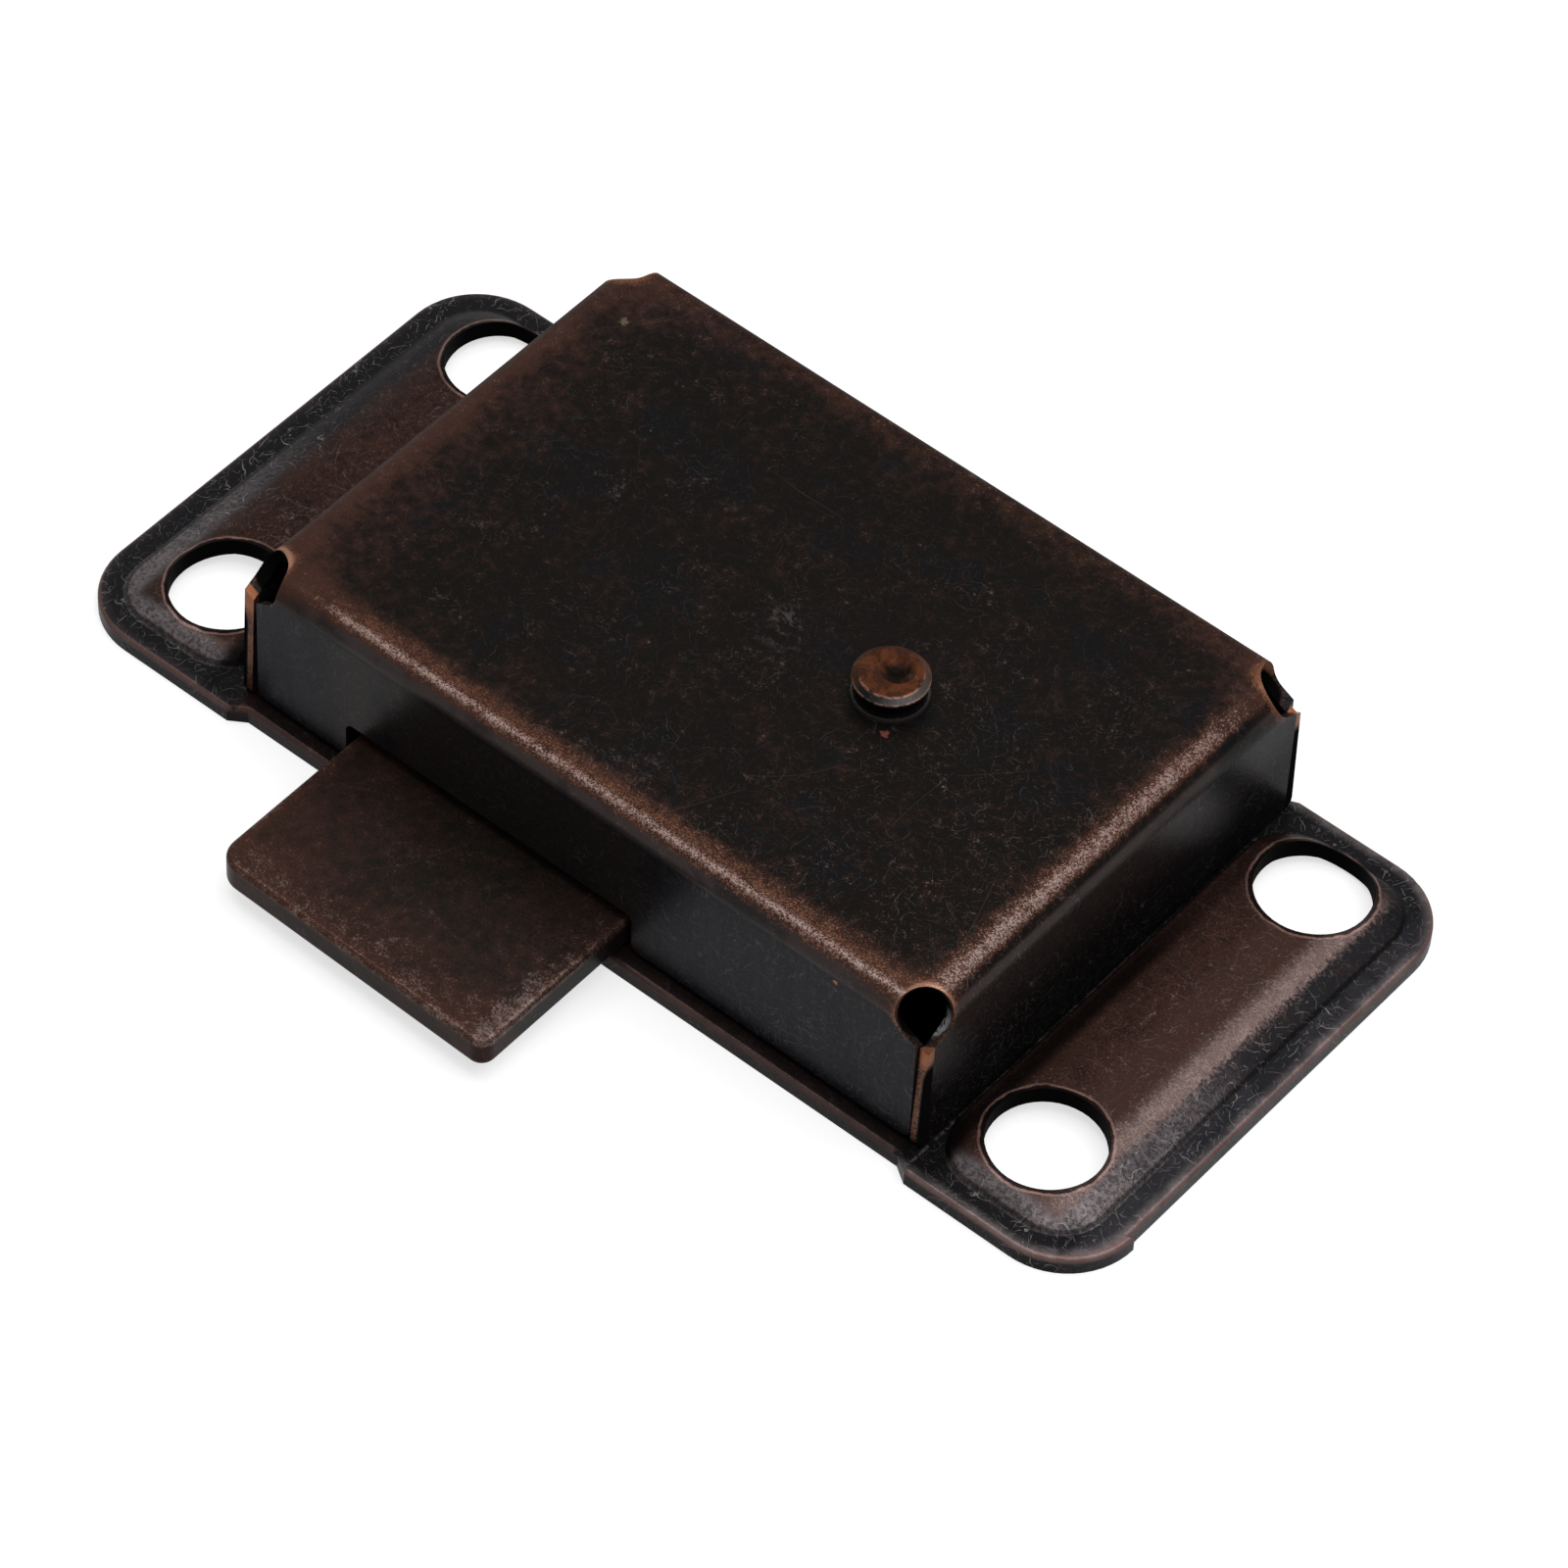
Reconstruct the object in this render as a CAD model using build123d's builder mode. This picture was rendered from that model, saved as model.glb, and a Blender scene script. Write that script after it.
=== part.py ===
from build123d import *
import os
from math import acos, cos, degrees, radians, sin, sqrt, tan

# A pressed-steel cabinet lock, surface mounted, drawn with its bolt thrown.
# Lengths are millimetres and angles are degrees.
# The mounting face is the plane z = 0 and the case stands up along +Z.
# The plate is long in X, the bolt is thrown towards -Y, and the origin is the
# centre of the four screw holes.

# Sheet
plate_thickness = 1.0
case_sheet = 0.6

# Case, outside
case_length = 43.4
case_width = 29.0
case_top_height = 10.5
case_offset = 0.2
long_bend_radius = 1.0
end_bend_radius = 1.7
relief_radius = 1.3
relief_tip_reach = 2.15
relief_depth = 2.0
relief_taper = 25
front_slit_left = 0.4
wall_slit = 0.05
flange_taper = 0.35
long_wall_lift = 0.4
wall_corner_radius = 0.5

# Tabs that fasten the case to the plate
tab_width = 3.0
tab_pitch = 15.0
tab_clearance = 0.05

# Plate outline
plate_ear = 10.8
plate_corner_radius = 4.2
front_ledge = 0.8
back_ledge = 0.0
front_jog = 0.6
back_jog = 0.4
waist_length = 42.6
waist_offset = 0.4
jog_run = 0.9
plate_edge_round = 0.25
die_step = 0.25

# Screw holes
screw_end_inset = 6.15
screw_side_inset = 4.1
screw_hole_radius = 3.0

# Raised pads at the plate's ends
pad_height = 0.8
pad_case_gap = 0.2
pad_end_rim = 1.4
pad_side_rim = 1.25
pad_inner_run = 0.4
pad_side_run = 1.8
pad_end_run = 3.0
pad_foot_radius = 2.8
pad_crown_radius = 2.0
pad_shoulder_rise = 0.6
pad_shoulder_run = 0.35
pad_inner_wall = 0.55

# Drill pin, the post that the barrel key turns on
pin_bolt_gap = 4.1
pin_y = 0.1
pin_radius = 1.5
pin_tip_height = 0.6
pin_tip_chamfer = 0.4
pin_shoulder_radius = 2.4
pin_shoulder_thickness = 0.8
pin_neck_radius = 1.6
pin_seat_radius = 1.95
pin_seat_thickness = 0.2
pin_head_radius = 1.95
pin_head_height = 1.5
pin_head_undercut = 0.7
pin_head_edge = 0.1
pin_head_bevel = 0.35
pin_head_bevel_rise = 0.25
pin_dimple_radius = 0.9
pin_dimple_depth = 0.4
pin_dimple_along = 0.13
pin_dimple_back = 0.35

# Keyhole
keyhole_radius = 3.3
key_slot_width = 2.8
key_bit_radius = 7.4
key_bit_clearance = 0.4

# Bolt
bolt_width = 17.6
bolt_end_gap = 7.3
bolt_thickness = 1.8
bolt_projection = 10.25
bolt_tip_skew = 0.35
bolt_corner_left = 1.3
bolt_corner_right = 0.8
bolt_edge_round = 0.3
bolt_lift = 0.15
bolt_side_clearance = 0.45
bolt_top_clearance = 0.85
bolt_tail_clearance = 0.3
talon_width = 5.6
talon_corner_radius = 0.6
detent_depth = 1.0
detent_half_width = 1.4
detent_tail_web = 1.0

# Guide stump, riveted in the plate and running in a slot of the bolt
stump_radius = 1.5
stump_clearance = 0.15
stump_tail_web = 2.45
stump_head_radius = 2.6
stump_head_thickness = 0.7

# Rivet tails in the plate
rivet_radius = 1.0
rivet_flare = 0.4
rivet_clearance = 0.02

# Detent spring and its slotted post
spring_thickness = 0.35
spring_height = 3.2
spring_lift = 0.3
spring_notch_gap = 0.12
spring_nose_half = 1.9
spring_tail_length = 2.2
spring_tail_setback = 1.0
spring_post_end_gap = 1.0
spring_post_back_gap = 1.7
spring_post_radius = 1.6
spring_post_height = 4.0
spring_post_overhang = 0.5
spring_slot_clearance = 0.05
spring_bend_radius = 0.5

# Ring ward around the key's path
ward_sheet = 0.6
ward_radius = 5.3
ward_height = 2.6
ward_start_angle = -75
ward_end_angle = 55
ward_tab_angle = 14
ward_tab_inset = 12

# Heights and edges that follow from the sizes above
case_left = case_offset - case_length / 2
case_right = case_offset + case_length / 2
case_front = -case_width / 2
case_back = case_width / 2
case_inner_left = case_left + case_sheet
case_inner_right = case_right - case_sheet
case_inner_back = case_back - case_sheet
case_ceiling = case_top_height - case_sheet
plate_length = case_length + 2 * plate_ear
screw_spacing_long = plate_length - 2 * screw_end_inset
screw_spacing_wide = case_width - 2 * screw_side_inset
waist_front = case_front - front_ledge
waist_back = case_back + back_ledge
plate_front = waist_front - front_jog
plate_back = waist_back + back_jog
plate_width = plate_back - plate_front
plate_end = plate_length / 2
plate_middle = (plate_back + plate_front) / 2
step_x = plate_end - plate_corner_radius + die_step
step_y = plate_front + plate_corner_radius
pad_inner = case_length / 2 + abs(case_offset) + pad_case_gap
pad_outer = plate_end - pad_end_rim
pad_front = plate_front + pad_side_rim
pad_back = plate_back - pad_side_rim
bolt_bottom = plate_thickness + bolt_lift
bolt_top = bolt_bottom + bolt_thickness
bolt_left = case_left + bolt_end_gap
bolt_right = bolt_left + bolt_width
bolt_tip = case_front - bolt_projection
bolt_throw = bolt_projection - front_ledge
bolt_tail = case_inner_back - bolt_tail_clearance - bolt_throw
pin_x = bolt_right + pin_bolt_gap
talon_floor = pin_x - key_bit_radius - key_bit_clearance
talon_y = pin_y - bolt_throw / 2
end_wall_middle = (case_length - case_sheet) / 2
slot_left = bolt_left - bolt_side_clearance
slot_right = bolt_right + bolt_side_clearance
slot_top = bolt_top + bolt_top_clearance
long_wall_bottom = plate_thickness + long_wall_lift
stump_x = (bolt_left + bolt_right) / 2
stump_y = bolt_tail - stump_tail_web - stump_clearance - stump_radius
stump_shoulder_top = bolt_top + bolt_lift
detent_y = bolt_tail - detent_tail_web - detent_half_width
spring_bottom = plate_thickness + spring_lift
spring_post_x = case_inner_left + spring_post_end_gap + spring_post_radius
spring_post_y = case_inner_back - spring_post_back_gap - spring_post_radius

os.makedirs("parts", exist_ok=True)


def raised_pad(foot_height, inner_foot, ruled):
    """The form pressed up at the right-hand end, from its foot to its flat crown."""
    stages = ((0, 0), (pad_shoulder_rise, pad_shoulder_run), (1, 1))
    with BuildPart() as pad:
        for rise, run in stages:
            left = inner_foot + run * pad_inner_run
            right = pad_outer - run * pad_end_run
            front = pad_front + run * pad_side_run
            back = pad_back - run * pad_side_run
            corner = pad_foot_radius + run * (pad_crown_radius - pad_foot_radius)
            with BuildSketch(Plane.XY.offset(foot_height + rise * pad_height)):
                with Locations(((left + right) / 2, (front + back) / 2)):
                    RectangleRounded(right - left, back - front, corner)
        loft(ruled=ruled)
    return pad.part


def case_form(inset):
    """The folded box before its corners are cut, drawn in by the inset on every outer face."""
    top = case_top_height - inset
    with BuildPart() as form:
        with BuildSketch(Plane.XZ) as front_view:
            with Locations((case_offset, (plate_thickness + top) / 2)):
                Rectangle(case_length - 2 * inset, top - plate_thickness)
            fillet(front_view.vertices().group_by(Axis.Y)[-1], radius=end_bend_radius - inset)
        extrude(amount=case_width / 2 - inset, both=True)
        with BuildSketch(Plane.YZ.offset(case_offset)) as end_view:
            with Locations((0, (plate_thickness + top) / 2)):
                Rectangle(case_width - 2 * inset, top - plate_thickness)
            fillet(end_view.vertices().group_by(Axis.Y)[-1], radius=long_bend_radius - inset)
        extrude(amount=case_length / 2 - inset, both=True, mode=Mode.INTERSECT)
    return form.part


def corner_relief(end_side, wall_side):
    """A tapered teardrop cut down the diagonal of a top corner, its tip on the upright edge.

    The one at the front left is moved along with the wider slit below it.
    """
    is_front_left = end_side + wall_side == -2
    shift = front_slit_left / sqrt(2) if is_front_left else 0
    corner = (case_offset + end_side * case_length / 2, wall_side * case_width / 2, case_top_height)
    outer_growth = relief_depth * tan(radians(relief_taper))
    radius = relief_radius + outer_growth
    reach = relief_tip_reach + outer_growth
    tangent = acos(radius / reach)
    diagonal = Plane(origin=corner, x_dir=(-wall_side, end_side, 0), z_dir=(end_side, wall_side, 1))
    with BuildPart() as relief:
        with BuildSketch(diagonal):
            with Locations((shift, 0)):
                Circle(radius)
                Polygon(
                    (0, -reach),
                    (radius * sin(tangent), -radius * cos(tangent)),
                    (0, 0),
                    (-radius * sin(tangent), -radius * cos(tangent)),
                    align=None,
                )
        extrude(amount=-2 * relief_depth, taper=relief_taper)
    return relief.part


def rivet_tail(clearance):
    """Half section of a flush rivet tail that fills the plate, flared at the mounting face."""
    return [
        (0, 0),
        (rivet_radius + rivet_flare + clearance, 0),
        (rivet_radius + clearance, rivet_flare),
        (rivet_radius + clearance, plate_thickness),
    ]


def upright_plane(x, y):
    """A plane through a vertical axis, for the half section of a turned piece."""
    return Plane(origin=(x, y, 0), x_dir=(1, 0, 0), z_dir=(0, -1, 0))


def ward_arc(start_angle, end_angle, width):
    """A strip of the given width along the ward's circle round the drill pin."""
    with BuildSketch() as strip:
        with BuildLine():
            CenterArc((pin_x, pin_y), ward_radius, start_angle, end_angle - start_angle)
        trace(line_width=width)
    return strip.sketch


# Forms that are pressed in the plate or pass through it
pad_form = raised_pad(plate_thickness, pad_inner, False)
pad_hollow = raised_pad(0, pad_inner + pad_inner_wall, True)
ward_tab_starts = (
    ward_start_angle + ward_tab_inset,
    ward_end_angle - ward_tab_inset - ward_tab_angle,
)
ward_tabs = [ward_arc(start, start + ward_tab_angle, ward_sheet) for start in ward_tab_starts]
ward_slack = degrees(tab_clearance / ward_radius)
ward_slots = [
    ward_arc(start - ward_slack, start + ward_tab_angle + ward_slack, ward_sheet + 2 * tab_clearance)
    for start in ward_tab_starts
]

# Back plate: blanked outline with the small step that the die left where the front
# right corner meets the end edge, a raised pad at each end, screw holes, keyhole,
# slots for the tabs of the case and the ward, and flared holes for the two rivets
with BuildPart() as back_plate:
    with BuildSketch():
        with Locations((0, plate_middle)):
            RectangleRounded(plate_length, plate_width, plate_corner_radius)
        with BuildLine():
            CenterArc((step_x, step_y), plate_corner_radius, -90, 90)
            Polyline(
                (step_x + plate_corner_radius, step_y),
                (step_x - die_step, step_y),
                (step_x - die_step, plate_front),
                (step_x, plate_front),
            )
        make_face()
        for waist_edge, end_edge in ((waist_front, plate_front), (waist_back, plate_back)):
            with BuildLine():
                Polyline(
                    (waist_offset - waist_length / 2 - jog_run / 2, end_edge),
                    (waist_offset - waist_length / 2 + jog_run / 2, waist_edge),
                    (waist_offset + waist_length / 2 - jog_run / 2, waist_edge),
                    (waist_offset + waist_length / 2 + jog_run / 2, end_edge),
                    close=True,
                )
            make_face(mode=Mode.SUBTRACT)
    extrude(amount=plate_thickness)
    fillet(back_plate.faces().sort_by(Axis.Z)[-1].outer_wire().edges(), radius=plate_edge_round)
    add(pad_form)
    mirror(pad_form, about=Plane.YZ)
    add(pad_hollow, mode=Mode.SUBTRACT)
    mirror(pad_hollow, about=Plane.YZ, mode=Mode.SUBTRACT)
    with BuildSketch():
        with GridLocations(screw_spacing_long, screw_spacing_wide, 2, 2):
            Circle(screw_hole_radius)
        with Locations((pin_x, pin_y)):
            Circle(keyhole_radius)
        with Locations((pin_x, pin_y + (key_bit_radius + key_bit_clearance) / 2)):
            Rectangle(key_slot_width, key_bit_radius + key_bit_clearance)
        with Locations((case_offset, 0)):
            with GridLocations(2 * end_wall_middle, tab_pitch, 2, 2):
                Rectangle(case_sheet + 2 * tab_clearance, tab_width + 2 * tab_clearance)
        add(ward_slots)
    extrude(amount=plate_thickness + pad_height, mode=Mode.SUBTRACT)
    for rivet_x, rivet_y in ((stump_x, stump_y), (spring_post_x, spring_post_y)):
        with BuildSketch(upright_plane(rivet_x, rivet_y)):
            Polygon(*rivet_tail(rivet_clearance), (0, plate_thickness), align=None)
        revolve(axis=Axis((rivet_x, rivet_y, 0), (0, 0, 1)), mode=Mode.SUBTRACT)
back_plate.part.label = "back_plate"
export_step(back_plate.part, "parts/back_plate.step")

# Case: one folded sheet with four walls. The end walls span the full width and
# carry the tabs, with edges that taper in towards the top. The long walls butt
# between them, and a teardrop relief is left at each top corner where the folds meet.
case_outside = case_form(0)
case_hollow = case_form(case_sheet)
corner_reliefs = [corner_relief(end_side, wall_side) for end_side in (-1, 1) for wall_side in (-1, 1)]
with BuildPart() as case:
    add(case_outside)
    add(case_hollow, mode=Mode.SUBTRACT)
    add(corner_reliefs, mode=Mode.SUBTRACT)
    for end_side in (-1, 1):
        with BuildSketch(Plane.YZ.offset(case_offset + end_side * end_wall_middle)):
            for wall_side in (-1, 1):
                Polygon(
                    (wall_side * case_width / 2, plate_thickness),
                    (wall_side * case_width / 2, case_top_height),
                    (wall_side * (case_width / 2 - flange_taper), case_top_height),
                    align=None,
                )
        extrude(amount=case_sheet / 2, both=True, mode=Mode.SUBTRACT)
    slit_top = case_top_height - long_bend_radius
    for wall_y, inward, left_slit in ((case_front, -1, front_slit_left), (case_back, 1, wall_slit)):
        with BuildSketch(Plane.XZ.offset(-wall_y)):
            for slit_left, slit_right in (
                (case_inner_left, case_inner_left + left_slit),
                (case_inner_right - wall_slit, case_inner_right),
            ):
                with Locations(((slit_left + slit_right) / 2, (plate_thickness + slit_top) / 2)):
                    Rectangle(slit_right - slit_left, slit_top - plate_thickness)
            with Locations((case_offset, plate_thickness + long_wall_lift / 2)):
                Rectangle(case_length - 2 * case_sheet, long_wall_lift)
        extrude(amount=inward * case_sheet, mode=Mode.SUBTRACT)

    with BuildSketch(Plane.XZ.offset(-case_front)):
        with Locations(((slot_left + slot_right) / 2, (plate_thickness + slot_top) / 2)):
            Rectangle(slot_right - slot_left, slot_top - plate_thickness)
    extrude(amount=-case_sheet, mode=Mode.SUBTRACT)
    cut_corners = case.edges().filter_by(Axis.Y).filter_by_position(
        Axis.Z, plate_thickness + long_wall_lift / 2, slot_top + bolt_top_clearance / 2
    )
    fillet(cut_corners, radius=wall_corner_radius)
    fillet(case.edges().filter_by(Axis.X).group_by(Axis.Z)[0], radius=wall_corner_radius)

    with BuildSketch():
        with Locations((case_offset, 0)):
            with GridLocations(2 * end_wall_middle, tab_pitch, 2, 2):
                Rectangle(case_sheet, tab_width)
    extrude(amount=plate_thickness)
    with BuildSketch(Plane.XY.offset(case_ceiling)):
        with Locations((pin_x, pin_y)):
            Circle(pin_neck_radius + rivet_clearance)
    extrude(amount=case_sheet, mode=Mode.SUBTRACT)
case.part.label = "case"
export_step(case.part, "parts/case.step")

# Drill pin: turned post, shouldered under the case top and riveted over above it
pin_seat_top = case_top_height + pin_seat_thickness
pin_head_top = case_top_height + pin_head_height
pin_head_bottom = pin_seat_top + pin_head_undercut
with BuildPart() as drill_pin:
    with BuildSketch(upright_plane(pin_x, pin_y)):
        Polygon(
            (0, pin_tip_height),
            (pin_radius - pin_tip_chamfer, pin_tip_height),
            (pin_radius, pin_tip_height + pin_tip_chamfer),
            (pin_radius, case_ceiling - pin_shoulder_thickness),
            (pin_shoulder_radius, case_ceiling - pin_shoulder_thickness),
            (pin_shoulder_radius, case_ceiling),
            (pin_neck_radius, case_ceiling),
            (pin_neck_radius, case_top_height),
            (pin_seat_radius, case_top_height),
            (pin_seat_radius, pin_seat_top),
            (pin_neck_radius, pin_seat_top),
            (pin_neck_radius, pin_head_bottom),
            (pin_head_radius, pin_head_top - pin_head_bevel_rise - pin_head_edge),
            (pin_head_radius, pin_head_top - pin_head_bevel_rise),
            (pin_head_radius - pin_head_bevel, pin_head_top),
            (0, pin_head_top),
            align=None,
        )
    revolve(axis=Axis((pin_x, pin_y, 0), (0, 0, 1)))
    dimple_ball = (pin_dimple_radius**2 + pin_dimple_depth**2) / (2 * pin_dimple_depth)
    dimple_centre = (
        pin_x + pin_dimple_along,
        pin_y + pin_dimple_back,
        pin_head_top - pin_dimple_depth + dimple_ball,
    )
    with Locations(dimple_centre):
        Sphere(dimple_ball, mode=Mode.SUBTRACT)
drill_pin.part.label = "drill_pin"
export_step(drill_pin.part, "parts/drill_pin.step")

# Bolt: flat plate with the tongue in front, a slot for the guide stump, the
# talon that the key pushes, and two notches for the detent spring
with BuildPart() as bolt:
    with BuildSketch(Plane.XY.offset(bolt_bottom)) as bolt_outline:
        with BuildLine():
            Polyline(
                (bolt_left, bolt_tail),
                (bolt_left, bolt_tip + bolt_tip_skew),
                (bolt_right, bolt_tip),
                (bolt_right, bolt_tail),
                close=True,
            )
        make_face()
        fillet(bolt_outline.vertices().sort_by(Axis.Y)[0], radius=bolt_corner_right)
        left_corner = bolt_outline.vertices().group_by(Axis.X)[0].sort_by(Axis.Y)[0]
        fillet(left_corner, radius=bolt_corner_left)
        with Locations((stump_x, stump_y - bolt_throw / 2)):
            SlotCenterToCenter(
                bolt_throw, 2 * (stump_radius + stump_clearance), rotation=90, mode=Mode.SUBTRACT
            )
        with Locations((bolt_right, talon_y)):
            RectangleRounded(
                2 * (bolt_right - talon_floor), talon_width, talon_corner_radius, mode=Mode.SUBTRACT
            )
        for notch_y in (detent_y, detent_y - bolt_throw):
            Polygon(
                (bolt_left, notch_y - detent_half_width),
                (bolt_left + detent_depth, notch_y),
                (bolt_left, notch_y + detent_half_width),
                align=None,
                mode=Mode.SUBTRACT,
            )
    extrude(amount=bolt_thickness)
    flat_faces = bolt.faces().filter_by(Axis.Z)
    tongue_rim = [
        edge
        for face in flat_faces
        for edge in face.outer_wire().edges()
        if edge.bounding_box().min.Y < case_front
    ]
    fillet(tongue_rim, radius=bolt_edge_round)
bolt.part.label = "bolt"
export_step(bolt.part, "parts/bolt.step")

# Guide stump: shouldered rivet that steers the bolt and holds it down
with BuildPart() as guide_stump:
    with BuildSketch(upright_plane(stump_x, stump_y)):
        Polygon(
            *rivet_tail(0),
            (stump_radius, plate_thickness),
            (stump_radius, stump_shoulder_top),
            (stump_head_radius, stump_shoulder_top),
            (stump_head_radius, stump_shoulder_top + stump_head_thickness),
            (0, stump_shoulder_top + stump_head_thickness),
            align=None,
        )
    revolve(axis=Axis((stump_x, stump_y, 0), (0, 0, 1)))
guide_stump.part.label = "guide_stump"
export_step(guide_stump.part, "parts/guide_stump.step")

# Spring post: riveted stud with a saw cut that grips the end of the spring
spring_post_top = plate_thickness + spring_post_height
with BuildPart() as spring_post:
    with BuildSketch(upright_plane(spring_post_x, spring_post_y)):
        Polygon(
            *rivet_tail(0),
            (spring_post_radius, plate_thickness),
            (spring_post_radius, spring_post_top),
            (0, spring_post_top),
            align=None,
        )
    revolve(axis=Axis((spring_post_x, spring_post_y, 0), (0, 0, 1)))
    with BuildSketch(Plane.XY.offset(spring_bottom)):
        with Locations((spring_post_x, spring_post_y)):
            Rectangle(spring_thickness + 2 * spring_slot_clearance, 3 * spring_post_radius)
    extrude(amount=spring_post_top - spring_bottom, mode=Mode.SUBTRACT)
spring_post.part.label = "spring_post"
export_step(spring_post.part, "parts/spring_post.step")

# Detent spring: a strip on edge, held in the post, with a nose in the bolt's notch
nose_slope = detent_depth / detent_half_width
nose_normal = (1 + nose_slope**2) ** 0.5
nose_x = bolt_left + detent_depth - (spring_thickness / 2 + spring_notch_gap) * nose_normal
nose_root_x = nose_x - spring_nose_half * nose_slope
with BuildPart() as detent_spring:
    with BuildSketch(Plane.XY.offset(spring_bottom)):
        with BuildLine():
            FilletPolyline(
                (spring_post_x, spring_post_y + spring_post_radius + spring_post_overhang),
                (spring_post_x, spring_post_y - spring_post_radius - spring_post_overhang),
                (nose_root_x, detent_y + spring_nose_half),
                (nose_x, detent_y),
                (nose_root_x, detent_y - spring_nose_half),
                (
                    nose_root_x - spring_tail_setback,
                    detent_y - spring_nose_half - spring_tail_length,
                ),
                radius=spring_bend_radius,
            )
        trace(line_width=spring_thickness)
    extrude(amount=spring_height)
detent_spring.part.label = "detent_spring"
export_step(detent_spring.part, "parts/detent_spring.step")

# Ring ward: curved strip round the drill pin, with two tabs through the plate
with BuildPart() as ring_ward:
    with BuildSketch(Plane.XY.offset(plate_thickness)):
        add(ward_arc(ward_start_angle, ward_end_angle, ward_sheet))
    extrude(amount=ward_height)
    with BuildSketch():
        add(ward_tabs)
    extrude(amount=plate_thickness)
ring_ward.part.label = "ring_ward"
export_step(ring_ward.part, "parts/ring_ward.step")
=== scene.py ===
import math
from collections import namedtuple
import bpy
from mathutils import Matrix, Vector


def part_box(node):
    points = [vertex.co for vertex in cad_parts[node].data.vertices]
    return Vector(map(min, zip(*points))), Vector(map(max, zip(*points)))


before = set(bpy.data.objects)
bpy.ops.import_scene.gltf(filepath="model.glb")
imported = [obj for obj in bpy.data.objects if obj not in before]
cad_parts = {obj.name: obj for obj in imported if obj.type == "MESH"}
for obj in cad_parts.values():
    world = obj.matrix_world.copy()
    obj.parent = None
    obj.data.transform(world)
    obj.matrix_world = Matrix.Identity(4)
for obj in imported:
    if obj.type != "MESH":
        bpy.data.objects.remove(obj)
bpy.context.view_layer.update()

from types import SimpleNamespace

import bpy
from mathutils import Matrix, Vector

# A surface-mounted cabinet lock in a dark antique copper finish.
# Objects are in metres, in the lock's own frame: +X along the plate, -Y the way
# the bolt is thrown, +Z up from the mounting face. Finishes are laid out in millimetres.
MM = 0.001

# Camera, as the photograph was taken
camera_aim = Vector((1.923, -0.602, 0.0)) * MM
camera_azimuth = math.radians(37.498)
camera_elevation = math.radians(49.473)
camera_roll = math.radians(3.322)
camera_distance = 379.446 * MM
camera_lens = 176.192
camera_sensor = 36.0
camera_clip = (0.01, 10)

# Lamps: the way to each from the lock, its width in metres, and how bright its face is.
# A white card has brightness 1.
lamp_distance = 0.7
lamp_above = {"heading": (0.22, 0.12, 0.968), "width": 0.8, "brightness": 3.0}
lamp_on_left = {"heading": (-0.395, -0.05, 0.915), "width": 0.24, "brightness": 4.5}

# Floor, in metres, and surroundings. The whitening is added only where they are looked at
# as the background, so that they show white without lighting the lock more.
floor_size = 4
FLOOR_GREY = (0.4, 0.4, 0.4, 1)
WHITE = (1, 1, 1, 1)
floor_whitening = 0.66
surrounding_light = 0.4
surrounding_whitening = 0.6

# Sizes of the lock that the finishes follow, in millimetres
case_low, case_high = (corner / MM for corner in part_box("case"))
plate_low, plate_high = (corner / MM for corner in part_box("back_plate"))
bolt_low, bolt_high = (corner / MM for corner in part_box("bolt"))
pin_low, pin_high = (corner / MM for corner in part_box("drill_pin"))
relief_radius = 1.3
plate_half_length = -plate_low.x
plate_corner_radius = 4.2
waist_half_length = 21.3
front_jog = 0.6
pad_inner = 22.1
pad_end_rim = 1.4
pad_side_rim = 1.25
pad_foot_radius = 2.8
screw_spacing = (52.7, 20.8)
screw_hole_radius = 3.0
bolt_corner_radius = 1.0
rivet_seat_height = 0.2
rivet_seat_radius = 1.95
rivet_neck_height = 0.9
rivet_head_radius = 1.95
rivet_bevel = 0.35
rivet_dimple_offset = (0.13, 0.35)
rivet_dimple_radius = 0.9

# Depth of the finest unevenness, in millimetres
copper_bump = 0.010
steel_bump = 0.006

# Colours of the finish in general, linear
BLACK_PATINA = (0.0079, 0.0067, 0.0060, 1)
INKY_PATINA = (0.0068, 0.0073, 0.0092, 1)
BROWN_PATINA = (0.043, 0.0200, 0.0148, 1)
WORN_COPPER = (0.125, 0.052, 0.028, 1)
# Rubbed copper, laid on the crests partly as a painted highlight where the lamps catch bends, pad shoulders
# and edges
RUBBED_AND_LIT_COPPER = (0.135, 0.099, 0.089, 1)
BRIGHT_COPPER = (0.32, 0.120, 0.060, 1)
# Worn copper lit to a painted highlight, on the near relief lips and the rivet bevel
PINK_COPPER_HIGHLIGHT = (0.34, 0.185, 0.130, 1)
RED_FLECK = (0.070, 0.020, 0.014, 1)
PALE_SCRATCH = (0.185, 0.172, 0.172, 1)
# Painted shade: black laid inside the reliefs, in the screw holes, in the pads' creases and inner feet, in
# the rivet's dimple and under its head
PAINTED_SHADE_BLACK = (0.003, 0.0026, 0.0025, 1)

# Colours of the case
BLUE_PATINA = (0.0126, 0.0126, 0.0150, 1)
STREAK_PATINA = (0.0090, 0.0096, 0.0128, 1)
GREY_BEND = (0.036, 0.0285, 0.0275, 1)
END_PATINA = (0.0205, 0.0152, 0.0142, 1)
# Darker towards the foot of the end walls, and painted shade on the outer side of the cut edges
DARK_FOOT_AND_SHADE = (0.0050, 0.0046, 0.0047, 1)
# Painted reflection: lighter brown-grey on the front wall where the bolt is mirrored in it
PAINTED_BOLT_REFLECTION = (0.0190, 0.0160, 0.0152, 1)
CUT_STEEL = (0.18, 0.18, 0.185, 1)
RED_CHIP = (0.170, 0.050, 0.036, 1)
BEIGE_CHIP = (0.110, 0.085, 0.058, 1)
PALE_SMUDGE = (0.145, 0.120, 0.120, 1)

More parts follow.
